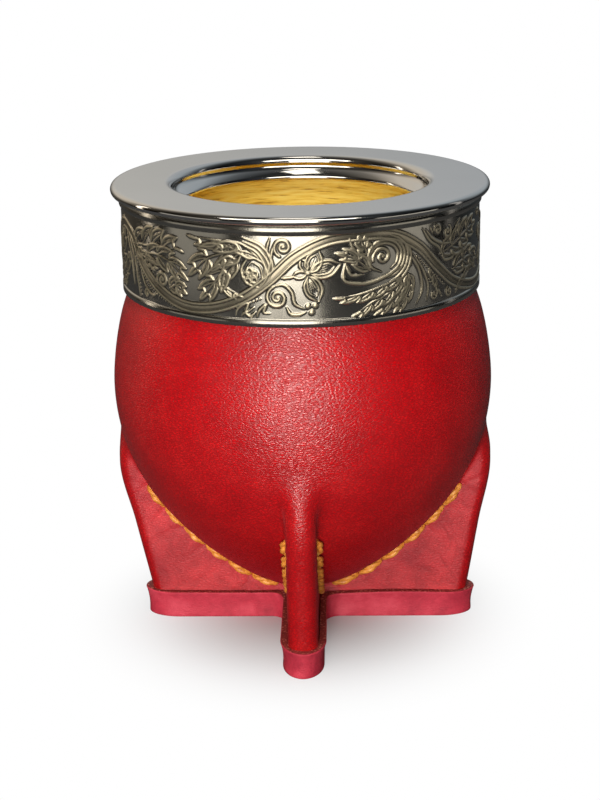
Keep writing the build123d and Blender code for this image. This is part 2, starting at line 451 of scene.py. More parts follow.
def nickel_silver():
    material, tree, shader, place = new_material("nickel silver")
    patch = place_group(tree, MOTTLE, Place=place, Patches_per_m=120.0)
    relief = attribute(tree, "relief")
    tree.feed(shader, "Metallic", 1.0)
    # The raised lines are painted pale cream-gold: a painted highlight along the ridges, while the
    # sunk ground keeps the metal's grey.
    tone = tree.ramp(relief, [
        (0.0, (0.60, 0.58, 0.53, 1.0)),
        (0.35, (0.62, 0.56, 0.44, 1.0)),
        (0.80, (0.98, 0.89, 0.68, 1.0)),
    ])
    # Darkens the metal round the ridges: patina in the hollows, and painted shade beside the raised
    # lines.
    patina_and_shaded_tone = tree.mix(attribute(tree, "patina_and_shade"), tone, (0.07, 0.06, 0.045, 1.0))
    tree.feed(shader, "Base Color", patina_and_shaded_tone)
    dull = tree.math("MULTIPLY", relief, 0.24)
    worn = tree.scaled(patch.outputs["Patch"], 0.16, 0.10)
    tree.feed(shader, "Roughness", tree.math("ADD", dull, worn))
    scratch = tree.add("ShaderNodeMapping", Vector=place, Scale=(1.0, 1.0, 0.12))
    fine = tree.add("ShaderNodeTexNoise", Vector=scratch.outputs[0], Scale=2600.0)
    bump(tree, shader, fine.outputs["Fac"], 0.12, 0.00006)
    return material


def dry_gourd():
    material, tree, shader, place = new_material("dry gourd")
    stretch = tree.add("ShaderNodeMapping", Vector=place, Scale=(1.0, 1.0, 14.0))
    streak = place_group(tree, MOTTLE, Place=stretch.outputs[0], Patches_per_m=150.0)
    tree.feed(shader, "Base Color", tree.ramp(streak.outputs["Patch"], [
        (0.30, (0.46, 0.24, 0.03, 1.0)),
        (0.40, (0.84, 0.58, 0.08, 1.0)),
        (0.52, (0.93, 0.70, 0.13, 1.0)),
        (0.75, (0.97, 0.82, 0.26, 1.0)),
    ]))
    tree.feed(shader, "Roughness", 0.55)
    bump(tree, shader, streak.outputs["Patch"], 0.4, 0.0003)
    return material


def waxed_thread():
    material, tree, shader, place = new_material("waxed thread")
    patch = place_group(tree, MOTTLE, Place=place, Patches_per_m=900.0)
    tree.feed(shader, "Base Color", tree.ramp(patch.outputs["Patch"], [
        (0.30, (0.45, 0.12, 0.015, 1.0)),
        (0.55, (0.80, 0.30, 0.045, 1.0)),
        (0.80, (0.95, 0.52, 0.16, 1.0)),
    ]))
    tree.feed(shader, "Roughness", 0.42)
    bump(tree, shader, patch.outputs["Patch"], 0.3, 0.0001)
    return material


# ---------------------------------------------------------------- leather cover

FOLD_POINTS = 8
FACE_POINTS = 30
BELLY_POINTS = 27
SHOULDER_WIDTH = 6.0
COVER_TOP = COLLAR_BOTTOM + 3.0
INNER_ROWS = 12


def soft_union(first, second, blend):
    """The nearer of two distances, rounded where they are within blend of each other."""
    close = np.maximum(blend - np.abs(first - second), 0.0) / blend
    return np.minimum(first, second) - close * close * blend / 4.0


def half_quadrant(height, reach):
    """First places from a fin's middle plane round to the diagonal, fin along +X."""
    belly = max(float(belly_reach(height)), FIN_HALF * 1.5)
    fold_x = max(reach, belly)
    root_angle = math.asin(FIN_HALF / belly)
    root_x = belly * math.cos(root_angle)
    turn = np.linspace(0.0, math.pi / 2, FOLD_POINTS, endpoint=False)
    deep = min(max(fold_x - root_x, 0.0), FIN_FOLD)
    fold = np.stack([fold_x - deep * (1 - np.cos(turn)), FIN_HALF * np.sin(turn)], axis=1)
    face_length = max(fold_x - deep - root_x, 0.0)
    shoulder = min(SHOULDER_WIDTH, belly * (math.pi / 4 - root_angle) * 0.5)
    run = np.linspace(0.0, face_length + shoulder, FACE_POINTS, endpoint=False)
    angle = root_angle + np.maximum(run - face_length, 0.0) / belly
    face_x = fold_x - deep - run
    on_face = run < face_length
    face = np.stack([
        np.where(on_face, face_x, belly * np.cos(angle)),
        np.where(on_face, FIN_HALF, belly * np.sin(angle)),
    ], axis=1)
    start = root_angle + shoulder / belly
    sweep = np.linspace(start, math.pi / 4, BELLY_POINTS)
    arc = np.stack([belly * np.cos(sweep), belly * np.sin(sweep)], axis=1)
    return np.concatenate([fold, face, arc])


def by_fin(x, y):
    """The nearest fin's number, and how far places lie along it and to its side."""
    sideways = np.abs(x) > np.abs(y)
    along = np.where(sideways, np.abs(x), np.abs(y))
    across = np.where(sideways, np.abs(y), np.abs(x))
    return np.where(sideways, np.where(x > 0, 0, 2), np.where(y > 0, 1, 3)), along, across


def whole_ring(halves):
    """A closed outline of half quadrants, each from a fin's middle round to the diagonal."""
    quarters = []
    for fin, half in enumerate(halves):
        mirrored = halves[(fin + 1) % 4][:, ::-1][::-1]
        quarter = np.concatenate([half, mirrored[1:-1]])
        turn = fin * math.pi / 2
        spin = np.array([[math.cos(turn), math.sin(turn)], [-math.sin(turn), math.cos(turn)]])
        quarters.append(quarter @ spin)
    return np.concatenate(quarters)


def cover_distance(places, height, reaches):
    """How far places at one height lie outside the soft union of belly and fins."""
    x, y = places[:, 0], places[:, 1]
    belly = np.hypot(x, y) - belly_reach(height)
    fin, along, across = by_fin(x, y)
    end = along - np.array(reaches)[fin] + FIN_FOLD
    side = across - FIN_HALF + FIN_FOLD
    outside = np.hypot(np.maximum(end, 0.0), np.maximum(side, 0.0))
    fins = outside + np.minimum(np.maximum(end, side), 0.0) - FIN_FOLD
    blend = 1.3 + 2.6 * float(smooth_step(34.0, 50.0, height))
    return soft_union(belly, fins, blend)


def cover_ring(height):
    """The closed outline of belly and fins at one height."""
    reaches = [float(fin_reach(fin, height)) for fin in range(4)]
    ring = whole_ring([half_quadrant(height, reach) for reach in reaches])
    step = 0.01
    for _ in range(12):
        gap = cover_distance(ring, height, reaches)
        slope_x = cover_distance(ring + [step, 0], height, reaches) - gap
        slope_y = cover_distance(ring + [0, step], height, reaches) - gap
        slope = np.stack([slope_x, slope_y], axis=1) / step
        size = np.maximum((slope**2).sum(axis=1), 0.3)
        ring = ring - np.clip(gap / size, -1.0, 1.0)[:, None] * slope
    return ring


def cover_heights():
    low = np.arange(SOLE_FLOOR, 50.0, 0.62)
    high = np.linspace(50.0, COVER_TOP, 52)
    return np.concatenate([low, high])


def hole_spots():
    """Reach and height of the stitch holes along a fin's root, from the top one inward."""
    first, last = 0.824 * BELLY_RADIUS, FIN_HALF + 2.8
    low = BELLY_SIDE[: int(np.argmax(BELLY_SIDE[:, 0]))]
    start = int(np.searchsorted(low[:, 0], first))
    end = int(np.searchsorted(low[:, 0], last))
    picks = np.linspace(start, end, STITCH_COUNT + 1)
    return [belly_spot(low[int(round(pick)), 0], ROOT_GAP) for pick in picks]


def crease_depth(reach, height, draws):
    """How deep the creases that run out from the stitch holes press into a fin's face."""
    depth = np.zeros_like(reach)
    for spot in hole_spots():
        away = np.array([spot[0], spot[1] - 60.0])
        base = math.atan2(away[1], away[0])
        dimple = np.hypot(reach - spot[0], height - spot[1])
        depth += 0.55 * np.exp(-(dimple / 1.0) ** 2)
        for _ in range(2):
            angle = base + draws.uniform(-0.5, 0.9)
            length = draws.uniform(4.0, 9.0)
            strong = draws.uniform(0.22, 0.55)
            along = (reach - spot[0]) * math.cos(angle) + (height - spot[1]) * math.sin(angle)
            across = (height - spot[1]) * math.cos(angle) - (reach - spot[0]) * math.sin(angle)
            bend = 0.04 * along**2 * draws.uniform(-1.0, 1.0)
            width = 0.35 + 0.05 * np.abs(along)
            fade = smooth_step(-0.5, 1.0, along) * np.exp(-np.maximum(along, 0.0) / length)
            depth += strong * np.exp(-((across - bend) / width) ** 2) * fade
    return depth


def fin_face_share(places):
    """1 on the flat faces of the fins, fading to 0 at their folds and at the belly."""
    z = places[..., 2]
    fin, along, across = by_fin(places[..., 0], places[..., 1])
    fold = np.choose(fin, [fin_reach(number, z) for number in range(4)])
    share = smooth_step(1.6, 3.4, fold - along) * smooth_step(0.4, 1.4, along - belly_reach(z))
    return share * smooth_step(5.2, 4.2, across)


def leather_cover():
    heights = cover_heights()
    rings = [cover_ring(height) for height in heights]
    columns = len(rings[0])
    outer = np.zeros((len(heights), columns, 3))
    for row, (height, ring) in enumerate(zip(heights, rings)):
        outer[row, :, :2] = ring
        outer[row, :, 2] = height
    for fin in range(4):
        turn = fin * math.pi / 2
        along = outer[..., 0] * math.cos(turn) + outer[..., 1] * math.sin(turn)
        across = outer[..., 1] * math.cos(turn) - outer[..., 0] * math.sin(turn)
        for side in (-1.0, 1.0):
            draws = random.Random(20 + 2 * fin + (side > 0))
            near = smooth_step(2.4, 3.4, across * side) * smooth_step(6.5, 4.5, across * side)
            near = near * (along > 0)
            press = crease_depth(along, outer[..., 2], draws) * near * side
            outer[..., 0] += press * math.sin(turn)
            outer[..., 1] -= press * math.cos(turn)
    angle = np.arctan2(outer[-1, :, 1], outer[-1, :, 0])
    drop = np.linspace(0.0, 1.0, INNER_ROWS)
    inner = np.zeros((INNER_ROWS, columns, 3))
    for row, share in enumerate(drop):
        height = COVER_TOP + (BELLY_BOTTOM + 3.5 - COVER_TOP) * share
        reach = float(belly_reach(height)) - LEATHER_THICKNESS * (1.0 + 1.2 * share)
        inner[row] = np.stack([
            reach * np.cos(angle), reach * np.sin(angle), np.full(columns, height)
        ], axis=1)
    places = np.concatenate([outer, inner])
    grid = mapped_grid(columns, len(places), places, poles=(0, -1))
    layer = grid.verts.layers.float.new("fin_face")
    for vertex, share in zip(grid.verts, fin_face_share(places).ravel()):
        vertex[layer] = share
    return new_piece("leather_cover_sewn", grid, COVER, ["leather_cover"])


# ---------------------------------------------------------------- sole

SIDE_POINTS = 22
TIP_POINTS = 14
CORNER_POINTS = 8
TIP_LENGTH = 8.0
CORNER_RADIUS = 4.0
SOLE_SIDE_WALL = 1.35
SOLE_TIP_WALL = 2.2
SOLE_WALL_ROWS = 12


def arm_half(half_width, tip):
    """Half of one arm of the cross, from its round end to the corner with the next arm."""
    end = tip - TIP_LENGTH
    turn = np.linspace(0.0, math.pi / 2, TIP_POINTS, endpoint=False)
    cap = np.stack([end + TIP_LENGTH * np.cos(turn), half_width * np.sin(turn)], axis=1)
    inner = half_width + CORNER_RADIUS
    run = np.linspace(end, inner, SIDE_POINTS, endpoint=False)
    side = np.stack([run, np.full(SIDE_POINTS, half_width)], axis=1)
    sweep = np.linspace(0.0, math.pi / 4, CORNER_POINTS)
    bend = inner - CORNER_RADIUS * np.stack([np.sin(sweep), np.cos(sweep)], axis=1)
    return np.concatenate([cap, side, bend])


def sole_ring(wall_extra, tip_extra, height):
    """The outline of the sole where its walls are this much thicker than their usual size."""
    half = FIN_HALF + 0.1 + SOLE_SIDE_WALL + wall_extra
    ring = whole_ring([arm_half(half, foot + SOLE_TIP_WALL + tip_extra) for foot in FIN_FEET])
    return np.concatenate([ring, np.full((len(ring), 1), height)], axis=1)


def leather_sole():
    foot = [sole_ring(-0.9, -0.9, 0.0), sole_ring(-0.25, -0.25, 0.0), sole_ring(-0.05, -0.05, 0.12)]
    wall = []
    for share in np.linspace(0.06, 0.9, SOLE_WALL_ROWS):
        waist = -0.35 * math.sin(math.pi * share)
        wall.append(sole_ring(0.5 * share + waist, 0.7 * share + waist, SOLE_TOP * share))
    wall += [sole_ring(0.48, 0.68, SOLE_TOP - 0.25), sole_ring(0.40, 0.60, SOLE_TOP - 0.06)]
    ledge = [sole_ring(0.25, 0.45, SOLE_TOP)]
    for share in np.linspace(0.25, 0.85, 4):
        inward = 0.25 - share * (0.25 + SOLE_SIDE_WALL - 0.05)
        tip_inward = 0.45 - share * (0.45 + SOLE_TIP_WALL - 0.3)
        ledge.append(sole_ring(inward, tip_inward, SOLE_TOP - 0.03 * share))
    for wall_gap, tip_gap, height in (
        (0.12, 0.35, SOLE_TOP - 0.1),
        (0.05, 0.30, SOLE_TOP - 0.5),
        (0.05, 0.20, SOLE_FLOOR - 0.1),
    ):
        ledge.append(sole_ring(wall_gap - SOLE_SIDE_WALL, tip_gap - SOLE_TIP_WALL, height))
    places = np.stack(foot + wall + ledge)
    columns = places.shape[1]
    angle = np.arctan2(places[..., 1], places[..., 0])
    far = np.hypot(places[..., 0], places[..., 1])
    lift = smooth_step(1.0, SOLE_TOP, places[..., 2])
    places[..., 2] += 0.22 * lift * (np.sin(5 * angle + far * 0.11) - 0.9)
    grid = mapped_grid(columns, len(places), places, poles=(0, -1))
    raw = grid.verts.layers.float.new("raw_edge")
    first_raw = columns * len(foot + wall)
    foot_pole = columns * len(places)
    for index, vertex in enumerate(grid.verts):
        vertex[raw] = 1.0 if index >= first_raw and index != foot_pole else 0.0
    return new_piece("leather_sole_cross", grid, SOLE, ["leather_sole"])


# ---------------------------------------------------------------- rim

RIM_STEPS = 256
LIP_RADIUS = 1.1
SPIGOT_RADIUS = 42.3
THROAT_RADIUS = 30.3
THROAT_EDGE = 1.8


def arc_points(centre, radius, start, end, count):
    turns = np.radians(np.linspace(start, end, count))
    return [(centre[0] + radius * math.cos(t), centre[1] + radius * math.sin(t)) for t in turns]


def turned_ring(profile, steps):
    """A closed outline of reach and height spun round the axis."""
    ring = bmesh.new()
    corners = [ring.verts.new((reach, 0.0, height)) for reach, height in profile]
    edges = [ring.edges.new((corners[i - 1], corners[i])) for i in range(len(corners))]
    bmesh.ops.spin(
        ring,
        geom=corners + edges,
        cent=(0, 0, 0),
        axis=(0, 0, 1),
        angle=2 * math.pi,
        steps=steps,
        use_merge=True,
    )
    return ring


def rim_ring():
    lip_reach = RIM_RADIUS - LIP_RADIUS
    lip_under = TOP - 2 * LIP_RADIUS
    seat = COLLAR_TOP + 0.02
    edge_reach = THROAT_RADIUS + THROAT_EDGE
    profile = [(edge_reach + 0.15, TOP), (lip_reach - 0.15, TOP)]
    profile += arc_points((lip_reach, TOP - LIP_RADIUS), LIP_RADIUS, 90, -90, 17)
    profile += [(lip_reach - 0.2, lip_under), (SPIGOT_RADIUS + 0.05, lip_under)]
    profile += [(SPIGOT_RADIUS, lip_under - 0.05), (SPIGOT_RADIUS, seat), (31.1, seat)]
    profile += [(28.2, TOP - 5.3), (28.1, TOP - 5.4), (27.4, TOP - 5.4), (27.3, TOP - 5.3)]
    profile += [(28.0, TOP - 4.5), (29.1, TOP - 3.3)]
    profile += arc_points((edge_reach, TOP - THROAT_EDGE), THROAT_EDGE, 205, 90, 15)
    ring = turned_ring(profile, RIM_STEPS)
    return new_piece("rim_ring_turned", ring, STEEL, ["rim_ring"])


# ---------------------------------------------------------------- collar

# The ornament is drawn flat: along the band in millimetres from the front, and up from the
# lower strip. It repeats twice round the cup.
MOTIF_LENGTH = math.pi * COLLAR_RADIUS
MOTIF_COLUMNS = 960
MOTIF_ROWS = 134
STRIP_LOW = 1.8
STRIP_HIGH = 2.0
MOTIF_HEIGHT = COLLAR_TOP - COLLAR_BOTTOM - STRIP_LOW - STRIP_HIGH
RELIEF_HEIGHT = 0.27
GROUND_SINK = 0.15
COLLAR_INSIDE = 41.85
FRONT_ANGLE = -math.pi / 2 + 0.0233
SEAM_AT = -26.3
PLAIN_GRIME = 0.1


class Chasing:
    """The flat height field that the strokes of the ornament are raised on."""

    def __init__(self):
        self.step = MOTIF_LENGTH / MOTIF_COLUMNS
        self.rise = MOTIF_HEIGHT / (MOTIF_ROWS - 1)
        self.field = np.zeros((MOTIF_ROWS, MOTIF_COLUMNS))

    def dab(self, along, up, half_width, height):
        """Raises one round spot."""
        first_column = math.floor((along - half_width) / self.step)
        last_column = math.ceil((along + half_width) / self.step)
        first_row = max(math.floor((up - half_width) / self.rise), 0)
        last_row = min(math.ceil((up + half_width) / self.rise), MOTIF_ROWS - 1)
        if last_row < first_row:
            return
        columns = np.arange(first_column, last_column + 1)
        rows = np.arange(first_row, last_row + 1)
        away = (columns * self.step - along) ** 2 + ((rows * self.rise - up) ** 2)[:, None]
        spot = height * np.clip(1.0 - away / half_width**2, 0.0, 1.0) ** 0.9
        window = np.ix_(rows, columns % MOTIF_COLUMNS)
        self.field[window] = np.maximum(self.field[window], spot)

    def ridge(self, points, width=0.5, height=1.0, start=0.35, end=0.35):
        """A raised line through a few points, thinner towards its ends."""
        knots = np.array(points, float)
        length = float(np.hypot(*np.diff(knots, axis=0).T).sum())
        count = max(int(length / 0.1), 4)
        line = spline_through(points, count) if len(points) > 2 else np.linspace(*knots, count)
        share = np.linspace(0.0, 1.0, count)
        swell = np.minimum(start + (1 - start) * share / 0.25, end + (1 - end) * (1 - share) / 0.25)
        swell = np.minimum(swell, 1.0)
        for (along, up), size in zip(line, swell):
            self.dab(along, up, width * size, height * (0.4 + 0.6 * size))

    def band(self, points, width, line=0.42):
        """Two raised lines a width apart, with a low flat between them."""
        middle = spline_through(points, 60)
        run = np.gradient(middle, axis=0)
        run /= np.hypot(*run.T)[:, None]
        side = np.stack([-run[:, 1], run[:, 0]], axis=1) * width / 2
        for edge in (middle + side, middle - side):
            self.ridge(edge[::3], line, 1.0, 1.0, 1.0)
        self.ridge(middle[::3], width * 0.5, 0.5, 1.0, 1.0)

    def beads(self, points, pitch=0.75, radius=0.3):
        knots = np.array(points, float)
        length = float(np.hypot(*np.diff(knots, axis=0).T).sum())
        for along, up in spline_through(points, max(int(length / pitch), 3)):
            self.dab(along, up, radius, 0.9)

    def spiral(self, centre, radius, turns, start, hand=1, width=0.5):
        """A curl that winds inward from its radius and starting angle in degrees."""
        share = np.linspace(0.0, 1.0, int(10 * turns) + 6)
        angle = math.radians(start) + hand * 2 * math.pi * turns * share
        reach = radius * (1.0 - 0.88 * share**0.8)
        curl = np.stack([centre[0] + reach * np.cos(angle), centre[1] + reach * np.sin(angle)], axis=1)
        self.ridge(curl, width, 1.0, 0.7, 0.7)
        self.dab(centre[0], centre[1], width * 0.9, 1.0)

    def leaf(self, spine, half_width, lobes, sides=(1, -1), hatch=5, line=0.4):
        """An acanthus leaf: a bent rib, pointed lobes down its sides and fine hatching."""
        rib = spline_through(spine, 60)
        run = np.gradient(rib, axis=0)
        run /= np.hypot(*run.T)[:, None]
        length = float(np.hypot(*np.diff(rib, axis=0).T).sum())
        pitch = length / (lobes + 0.35)

        def spot(along, across):
            """A place beside the rib, given along it and away from it."""
            share = min(max(along / length, 0.0), 1.0)
            index = int(round(share * 59))
            past = along - share * length
            side = np.array([-run[index][1], run[index][0]])
            return rib[index] + run[index] * past + side * across

        self.ridge(rib[::4], line * 0.7, 0.7, 1.0, 0.4)
        for side in sides:
            widths = [
                side * half_width * (0.62 + 0.38 * math.sin(math.pi * (lobe + 0.7) / lobes))
                for lobe in range(lobes)
            ]
            for lobe, wide in enumerate(widths):
                foot = pitch * lobe
                later = widths[min(lobe + 1, lobes - 1)] * (0.32 if lobe + 1 < lobes else 0.2)
                tip = spot(foot + 1.35 * pitch, wide)
                self.ridge([
                    spot(foot + 0.12 * pitch, 0.3 * wide), spot(foot + 0.3 * pitch, 0.72 * wide),
                    spot(foot + 0.75 * pitch, 0.98 * wide), tip,
                ], line, 1.0, 0.7, 0.6)
                self.ridge([
                    tip, spot(foot + 1.08 * pitch, 0.62 * wide), spot(foot + 1.12 * pitch, later),
                ], line, 1.0, 0.6, 0.7)
                self.ridge([
                    spot(foot + 0.1 * pitch, 0.0), spot(foot + 0.55 * pitch, 0.42 * wide),
                    spot(foot + 1.1 * pitch, 0.78 * wide),
                ], line * 0.6, 0.7, 0.8, 0.3)
                for tick in range(hatch):
                    share = (tick + 0.6) / hatch
                    at = foot + (0.15 + 0.85 * share) * pitch
                    self.ridge([
                        spot(at, (0.34 + 0.46 * share) * wide),
                        spot(at + 0.16 * pitch, (0.62 + 0.3 * share) * wide),
                    ], 0.19, 0.55, 0.8, 0.5)
            last = widths[-1] * 0.2
            self.ridge([
                spot(lobes * pitch + 0.1 * pitch, last), spot(length, 0.9 * last),
                spot(length + 0.45 * pitch, 0.0),
            ], line, 1.0, 0.7, 0.5)

    def petal(self, base, tip, half_width, veins=2, inner=True):
        """A pointed petal with a second line inside it and a few veins."""
        base, tip = np.array(base, float), np.array(tip, float)
        run = tip - base
        side = np.array([-run[1], run[0]]) / np.hypot(*run)
        for hand in (1, -1):
            for share in (1.0, 0.55) if inner else (1.0,):
                near = base + run * 0.28 + side * hand * half_width * 0.85 * share
                far = base + run * 0.62 + side * hand * half_width * 0.9 * share
                end = base + run * (0.55 + 0.45 * share)
                self.ridge([base, near, far, end], 0.4 if share == 1.0 else 0.26, 0.6 + 0.4 * share)
        for vein in range(veins):
            offset = side * half_width * 0.3 * (vein - (veins - 1) / 2)
            self.ridge([base + run * 0.1 + offset * 0.4, base + run * 0.62 + offset], 0.18, 0.5)

    def flower(self, centre, petals, radius, start):
        for petal in range(petals):
            angle = math.radians(start + 360 * petal / petals)
            tip = (centre[0] + radius * math.cos(angle), centre[1] + radius * math.sin(angle))
            self.petal(centre, tip, radius * 0.42, 1, False)
        self.dab(centre[0], centre[1], 0.55, 1.0)


def chased_motif():
    chase = Chasing()
    top = MOTIF_HEIGHT
    # The running stem
    chase.band([
        (-67.2, 6.0), (-59.5, 13.0), (-51.5, 16.7), (-44.8, 10.0), (-38.1, 5.0), (-31.4, 1.9),
        (-24.6, 1.2), (-16.8, 2.9), (-9.5, 6.8), (-4.6, 11.2), (0.0, 15.0), (5.6, 17.4),
        (14.0, 18.1), (22.4, 17.2), (26.9, 14.8), (31.4, 11.2), (35.8, 6.8), (41.4, 3.4),
        (50.4, 1.2), (60.0, 1.6), (67.25, 6.0),
    ], 1.9)
    chase.beads([(-46.5, 9.3), (-39.0, 3.4), (-31.8, 0.6)])
    chase.beads([(-20.0, 0.8), (-13.5, 2.8), (-9.2, 4.6)])
    chase.beads([(27.5, 11.9), (31.5, 8.2), (36.4, 4.0)])
    chase.beads([(-66.0, 9.0), (-60.0, 15.0), (-55.0, 17.4)])
    # Left: leaves that fan over the falling stem
    chase.ridge([(-51.5, 16.0), (-47.0, 9.0), (-45.5, 3.0), (-45.0, 0.3)], 0.5)
    chase.ridge([(-52.3, 15.8), (-49.0, 8.5), (-48.0, 2.5)], 0.45)
    chase.beads([(-50.4, 14.8), (-46.2, 7.0), (-44.2, 0.8)], 0.8)
    chase.leaf([(-47.0, 12.6), (-42.0, 13.0), (-36.0, 13.4), (-29.8, 13.4)], 4.4, 4, (1,), 7, 0.46)
    chase.leaf([(-41.0, 11.4), (-36.0, 11.6), (-32.0, 10.6), (-28.4, 8.2)], 2.6, 3, hatch=5)
    chase.leaf([(-45.2, 11.4), (-41.0, 9.9), (-37.4, 8.6)], 1.3, 4, hatch=0, line=0.34)
    chase.spiral((-35.0, 6.1), 2.0, 1.7, 200, -1)
    chase.leaf([(-32.6, 4.6), (-30.4, 5.6), (-28.2, 4.4)], 1.9, 2, hatch=2)
    chase.ridge([(-44.0, 7.4), (-42.0, 3.8), (-38.5, 1.9), (-36.8, 2.8)], 0.42)
    chase.spiral((-41.4, 1.8), 1.1, 1.3, 40, 1, 0.4)
    # Centre left: the great curled acanthus
    chase.leaf([(-9.4, 13.8), (-13.0, 16.6), (-18.0, 17.0), (-24.6, 17.4)], 2.5, 3, (1,), 6, 0.46)
    chase.leaf([(-13.0, 14.6), (-17.5, 14.2), (-21.5, 12.8), (-25.2, 9.6)], 3.0, 3, hatch=7, line=0.46)
    chase.leaf([(-14.2, 13.0), (-16.8, 11.0), (-19.4, 8.0), (-22.6, 4.4)], 2.6, 3, hatch=6, line=0.44)
    chase.leaf([(-14.4, 12.2), (-16.6, 9.6), (-16.8, 6.8), (-14.2, 5.4)], 1.7, 3, (-1,), 4)
    chase.petal((-9.3, 7.0), (-11.4, 14.2), 3.0, 0)
    chase.flower((-11.2, 9.6), 5, 1.9, 100)
    for shift in (0.0, 1.0, 1.9):
        chase.ridge([
            (-7.3 - 0.5 * shift, 8.4), (-6.2 - 0.9 * shift, 12.5 - 0.2 * shift),
            (-8.4 - 0.8 * shift, 16.2 - 0.6 * shift), (-13.0, 18.2 - 0.9 * shift),
        ], 0.42)
    chase.ridge([(-6.7, 18.3), (-7.4, 15.4), (-6.4, 12.6)], 0.4)
    chase.ridge([(-14.8, 0.4), (-14.2, 2.2), (-11.9, 3.4), (-12.4, 1.4), (-10.6, 2.6)], 0.42)
    chase.ridge([(-13.4, 0.4), (-12.8, 1.3), (-11.4, 0.6), (-10.2, 1.6)], 0.38)
    chase.ridge([(-9.9, 0.4), (-9.4, 1.9), (-7.9, 3.2), (-8.3, 1.6), (-7.0, 1.4)], 0.42)
    # Centre: curls, tendril, berries and the three-petalled flower
    chase.spiral((-3.9, 16.2), 2.2, 1.7, 250, -1)
    chase.ridge([(-6.1, 16.4), (-6.6, 13.6), (-6.9, 10.8)], 0.45)
    chase.spiral((-5.3, 4.9), 2.6, 1.8, 110, 1)
    chase.ridge([(-6.2, 7.4), (-3.9, 7.9), (-2.2, 6.4), (-1.4, 3.6), (0.6, 2.4)], 0.48)
    chase.ridge([(-4.4, 9.3), (-1.6, 9.6)], 0.4)
    chase.ridge([(-3.3, 2.9), (-2.4, 1.4), (-0.6, 1.2), (0.9, 1.7)], 0.42)
    for berry in ((1.4, 3.0), (3.0, 3.1), (2.2, 1.6)):
        chase.dab(berry[0], berry[1], 0.75, 1.0)
    chase.petal((1.6, 10.4), (3.9, 15.4), 1.8)
    chase.petal((1.9, 10.3), (8.8, 12.2), 1.9, 3)
    chase.petal((1.5, 9.8), (3.8, 3.9), 1.9, 3)
    chase.petal((1.2, 10.3), (-1.9, 9.8), 0.8, 0, False)
    chase.petal((1.2, 10.8), (0.0, 13.6), 0.9, 0, False)
    chase.dab(1.6, 10.4, 0.8, 1.0)
    # Right: the swirling rosette with hatched leaf fingers
    chase.spiral((18.4, 13.0), 2.4, 1.5, 200, -1, 0.5)
    for ring, (radius, first, last) in enumerate([
        (3.2, 205, -60), (4.1, 150, -75), (5.0, 70, -80), (5.9, 45, -75), (6.8, 25, -70),
    ]):
        turns = np.radians(np.linspace(first, last, 9))
        grow = np.linspace(1.0, 1.2, 9)
        chase.ridge([
            (18.6 + radius * g * math.cos(t), 13.0 + 0.84 * radius * g * math.sin(t))
            for t, g in zip(turns, grow)
        ], 0.42)
    chase.ridge([(18.2, 9.6), (15.6, 11.0), (15.0, 13.6), (16.4, 15.8), (19.0, 16.2)], 0.44)
    chase.leaf([(15.4, 10.2), (13.4, 12.0), (11.2, 13.6), (9.0, 14.2)], 1.6, 2, hatch=5, line=0.44)
    chase.leaf([(15.2, 13.4), (14.2, 15.2), (13.0, 17.4)], 1.7, 2, hatch=4, line=0.44)
    chase.ridge([(13.8, 9.4), (11.0, 9.6), (9.7, 12.4)], 0.46)
    chase.ridge([(9.7, 12.4), (9.4, 8.6), (13.4, 7.4), (19.0, 8.4), (24.0, 10.8)], 0.5)
    chase.leaf([(23.0, 7.8), (17.8, 6.2), (12.8, 5.0), (8.6, 4.6)], 1.8, 4, (1,), 3, 0.44)
    chase.leaf([(23.4, 7.2), (19.6, 4.4), (15.6, 2.8), (12.4, 0.9)], 1.8, 4, (1,), 4, 0.42)
    chase.leaf([(24.4, 7.4), (22.6, 4.4), (20.0, 2.4), (17.6, 0.8)], 1.6, 3, (1,), 4, 0.42)
    chase.leaf([(25.2, 8.2), (25.2, 4.8), (24.0, 2.6), (22.2, 0.8)], 1.5, 3, hatch=3, line=0.42)
    chase.ridge([(10.6, 17.9), (11.4, 15.6), (12.2, 14.8)], 0.4)
    chase.ridge([(19.6, 17.9), (23.0, 16.4), (25.4, 13.4), (26.0, 10.0)], 0.42)
    chase.beads([(19.4, 16.9), (22.4, 15.6), (24.4, 12.8)], 0.7, 0.24)
    # Far right: long leaves on both sides of the falling stem
    chase.leaf([(31.4, 8.6), (33.4, 5.8), (35.0, 2.6)], 1.2, 3, (-1,), 2, 0.36)
    chase.ridge([(29.0, 17.9), (31.4, 14.8), (34.8, 12.4), (36.6, 9.4)], 0.42)
    chase.ridge([(31.4, 17.9), (32.4, 16.2)], 0.4)
    chase.leaf([(41.4, 1.0), (45.4, 3.2), (48.6, 4.6), (52.4, 4.4)], 1.5, 3, (1,), 3, 0.38)
    chase.ridge([(43.0, 17.9), (41.0, 16.2), (41.4, 14.2)], 0.4)
    chase.ridge([(25.2, 13.0), (28.4, 8.0), (29.0, 3.8), (27.4, 1.0)], 0.46)
    chase.ridge([(26.4, 12.6), (29.6, 8.0), (31.0, 4.2), (30.6, 1.2)], 0.4)
    chase.beads([(28.6, 9.6), (31.8, 5.4), (35.6, 1.4)], 0.8)
    chase.spiral((34.0, 16.8), 1.4, 1.4, 180, -1, 0.42)
    chase.spiral((37.6, 15.8), 1.6, 1.5, 60, -1, 0.42)
    chase.spiral((38.4, 1.9), 1.3, 1.4, 120, 1, 0.42)
    chase.spiral((32.8, 2.2), 1.2, 1.3, 20, -1, 0.4)
    chase.ridge([(30.0, 17.6), (32.0, 15.4), (36.0, 13.4), (40.0, 13.0)], 0.42)
    chase.leaf([(35.0, 11.2), (40.5, 12.6), (46.0, 14.4), (51.0, 15.2)], 3.2, 4, hatch=6, line=0.44)
    chase.leaf([(40.0, 6.8), (45.0, 8.0), (49.5, 8.0), (53.5, 6.8)], 2.6, 3, hatch=6, line=0.44)
